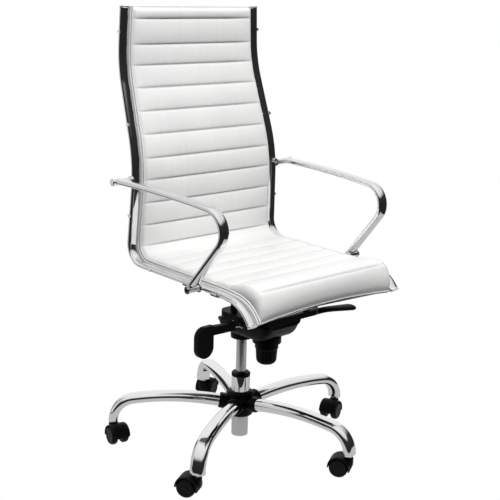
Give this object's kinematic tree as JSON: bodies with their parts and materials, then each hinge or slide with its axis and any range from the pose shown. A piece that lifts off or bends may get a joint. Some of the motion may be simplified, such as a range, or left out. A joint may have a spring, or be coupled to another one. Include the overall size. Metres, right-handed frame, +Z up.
{
  "type": "swivel office chair",
  "caption": "High-back office chair: a ribbed leather sling between chromed side frames with loop arms, on a tilting gas-lift mechanism and a star base with twin-wheel casters",
  "frame": {"origin": "on the floor, under the middle of the gas column", "axes": "+Z up, the seat faces -Y, +X is the sitter's left"},
  "size_m": [0.7088, 0.7179, 1.1631],
  "materials": {
    "chrome": "mirror polished",
    "satin_steel": "satin",
    "steel": "zinc plated",
    "black_metal": "semi-gloss black powder coat",
    "black_plastic": "satin moulded",
    "tread": "smooth moulded",
    "rubber": "matte",
    "brass_steel": "passivated yellow",
    "leather": "smooth white"
  },
  "bodies": {
    "base": {"hub": "black_plastic", "leg_1": "chrome", "leg_2": "chrome", "leg_3": "chrome", "leg_4": "chrome", "leg_5": "chrome", "caster_sockets": "black_plastic", "outer_column": "chrome", "column_bush": "black_plastic"},
    "rod": {"piston_rod": "steel", "thrust_bearing": "steel", "rubber_buffer": "rubber", "retaining_clip": "steel"},
    "lift": {"gas_cylinder": "satin_steel", "mechanism_housing": "black_metal", "pivot_pin": "steel"},
    "seat": {"seat_plate": "black_metal", "pivot_bushes": "black_plastic", "front_stretcher": "black_metal", "rear_stretcher": "black_metal", "plate_bolts": "steel", "side_frame_left": "chrome", "side_frame_right": "chrome", "frame_plugs": "chrome", "frame_screws": "chrome", "sling": "leather", "arm_left": "chrome", "arm_right": "chrome", "arm_pegs": "chrome", "arm_caps": "chrome"},
    "tension_bolt": {"tension_bolt": "steel", "tension_spring": "steel"},
    "tension_knob": {"tension_knob": "black_plastic"},
    "height_lever": {"height_lever_rod": "steel", "height_lever_handle": "black_plastic"},
    "release_button": {"release_button": "steel"},
    "tilt_lever": {"tilt_lever_rod": "steel", "tilt_lever_handle": "black_plastic"},
    "caster_1": {"caster_1_hood": "black_plastic", "caster_1_pins": "brass_steel"},
    "caster_1_wheel_a": {"caster_1_wheel_a": "tread"},
    "caster_1_wheel_b": {"caster_1_wheel_b": "tread"},
    "caster_2": {"caster_2_hood": "black_plastic", "caster_2_pins": "brass_steel"},
    "caster_2_wheel_a": {"caster_2_wheel_a": "tread"},
    "caster_2_wheel_b": {"caster_2_wheel_b": "tread"},
    "caster_3": {"caster_3_hood": "black_plastic", "caster_3_pins": "brass_steel"},
    "caster_3_wheel_a": {"caster_3_wheel_a": "tread"},
    "caster_3_wheel_b": {"caster_3_wheel_b": "tread"},
    "caster_4": {"caster_4_hood": "black_plastic", "caster_4_pins": "brass_steel"},
    "caster_4_wheel_a": {"caster_4_wheel_a": "tread"},
    "caster_4_wheel_b": {"caster_4_wheel_b": "tread"},
    "caster_5": {"caster_5_hood": "black_plastic", "caster_5_pins": "brass_steel"},
    "caster_5_wheel_a": {"caster_5_wheel_a": "tread"},
    "caster_5_wheel_b": {"caster_5_wheel_b": "tread"}
  },
  "joints": [
    {"name": "seat_swivel", "type": "hinge", "parent": "base", "child": "rod", "pos_m": [0, 0, 0.11], "axis": [0, 0, 1], "continuous": true},
    {"name": "seat_lift", "type": "slide", "parent": "rod", "child": "lift", "axis": [0, 0, 1], "range_m": [-0.075, 0.03]},
    {"name": "seat_tilt", "type": "hinge", "parent": "lift", "child": "seat", "pos_m": [0, -0.048, 0.384], "axis": [-1, 0, 0], "range_deg": [0, 15], "stiffness_Nm_per_rad": 160, "springref_deg": -20.05},
    {"name": "tension_bolt_lift", "type": "slide", "parent": "lift", "child": "tension_bolt", "axis": [0, 0, 1], "range_m": [0, 0.0166], "deforming": ["tension_spring"]},
    {"name": "tension_knob_turn", "type": "hinge", "parent": "tension_bolt", "child": "tension_knob", "pos_m": [0, -0.097, 0.28], "axis": [0, 0, 1], "range_deg": [-1080, 1080]},
    {"name": "height_lever_pull", "type": "hinge", "parent": "lift", "child": "height_lever", "pos_m": [-0.06, -0.06, 0.3683], "axis": [0, 1, 0], "range_deg": [0, 3.5], "stiffness_Nm_per_rad": 8, "springref_deg": -3.44},
    {"name": "release_button_press", "type": "slide", "parent": "lift", "child": "release_button", "axis": [0, 0, -1], "range_m": [0, 0.004]},
    {"name": "tilt_lock_turn", "type": "hinge", "parent": "lift", "child": "tilt_lever", "pos_m": [0.06, -0.14, 0.381], "axis": [1, 0, 0], "range_deg": [0, 20]},
    {"name": "caster_1_swivel", "type": "hinge", "parent": "base", "child": "caster_1", "pos_m": [0.34341, -0.03307, 0.055], "axis": [0, 0, 1], "continuous": true},
    {"name": "caster_1_wheel_a_roll", "type": "hinge", "parent": "caster_1", "child": "caster_1_wheel_a", "pos_m": [0.32086, -0.04127, 0.025], "axis": [0.342, -0.9397, 0], "continuous": true},
    {"name": "caster_1_wheel_b_roll", "type": "hinge", "parent": "caster_1", "child": "caster_1_wheel_b", "pos_m": [0.32086, -0.04127, 0.025], "axis": [0.342, -0.9397, 0], "continuous": true},
    {"name": "caster_2_swivel", "type": "hinge", "parent": "base", "child": "caster_2", "pos_m": [0.13757, 0.31639, 0.055], "axis": [0, 0, 1], "continuous": true},
    {"name": "caster_2_wheel_a_roll", "type": "hinge", "parent": "caster_2", "child": "caster_2_wheel_a", "pos_m": [0.16012, 0.32459, 0.025], "axis": [-0.342, 0.9397, 0], "continuous": true},
    {"name": "caster_2_wheel_b_roll", "type": "hinge", "parent": "caster_2", "child": "caster_2_wheel_b", "pos_m": [0.16012, 0.32459, 0.025], "axis": [-0.342, 0.9397, 0], "continuous": true},
    {"name": "caster_3_swivel", "type": "hinge", "parent": "base", "child": "caster_3", "pos_m": [-0.25839, 0.2286, 0.055], "axis": [0, 0, 1], "continuous": true},
    {"name": "caster_3_wheel_a_roll", "type": "hinge", "parent": "caster_3", "child": "caster_3_wheel_a", "pos_m": [-0.26256, 0.20497, 0.025], "axis": [0.9848, -0.1736, 0], "continuous": true},
    {"name": "caster_3_wheel_b_roll", "type": "hinge", "parent": "caster_3", "child": "caster_3_wheel_b", "pos_m": [-0.26256, 0.20497, 0.025], "axis": [0.9848, -0.1736, 0], "continuous": true},
    {"name": "caster_4_swivel", "type": "hinge", "parent": "base", "child": "caster_4", "pos_m": [-0.29726, -0.1751, 0.055], "axis": [0, 0, 1], "continuous": true},
    {"name": "caster_4_wheel_a_roll", "type": "hinge", "parent": "caster_4", "child": "caster_4_wheel_a", "pos_m": [-0.30926, -0.15432, 0.025], "axis": [-0.866, -0.5, 0], "continuous": true},
    {"name": "caster_4_wheel_b_roll", "type": "hinge", "parent": "caster_4", "child": "caster_4_wheel_b", "pos_m": [-0.30926, -0.15432, 0.025], "axis": [-0.866, -0.5, 0], "continuous": true},
    {"name": "caster_5_swivel", "type": "hinge", "parent": "base", "child": "caster_5", "pos_m": [0.07467, -0.33682, 0.055], "axis": [0, 0, 1], "continuous": true},
    {"name": "caster_5_wheel_a_roll", "type": "hinge", "parent": "caster_5", "child": "caster_5_wheel_a", "pos_m": [0.06267, -0.31604, 0.025], "axis": [-0.866, -0.5, 0], "continuous": true},
    {"name": "caster_5_wheel_b_roll", "type": "hinge", "parent": "caster_5", "child": "caster_5_wheel_b", "pos_m": [0.06267, -0.31604, 0.025], "axis": [-0.866, -0.5, 0], "continuous": true}
  ],
  "couplings": [
    {"joint": "tension_bolt_lift", "follows": "seat_tilt", "m_per_rad": 0.063},
    {"joint": "release_button_press", "follows": "height_lever_pull", "m_per_rad": 0.065}
  ]
}
